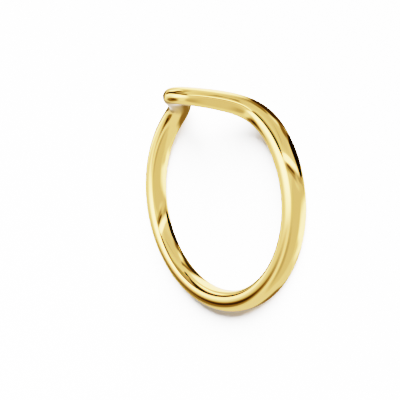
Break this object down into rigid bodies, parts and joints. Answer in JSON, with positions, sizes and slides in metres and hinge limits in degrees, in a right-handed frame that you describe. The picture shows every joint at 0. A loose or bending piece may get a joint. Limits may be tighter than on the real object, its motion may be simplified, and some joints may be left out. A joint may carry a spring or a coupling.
{
  "type": "curved wedding band",
  "caption": "Plain polished yellow gold wedding band whose front sweeps forward in one soft curve, to nest beside another ring.",
  "frame": {"origin": "middle of the ring's outer size, on the plane that its flattened back rests on", "axes": "+Z along the finger hole, the way the head sweeps forward; +Y towards the head; +X to the right as seen with the head up and the sweep towards the viewer's side"},
  "size_m": [0.0208, 0.0204, 0.0063],
  "materials": {
    "yellow_gold": null
  },
  "bodies": {
    "root": {"band": "yellow_gold"}
  },
  "joints": []
}
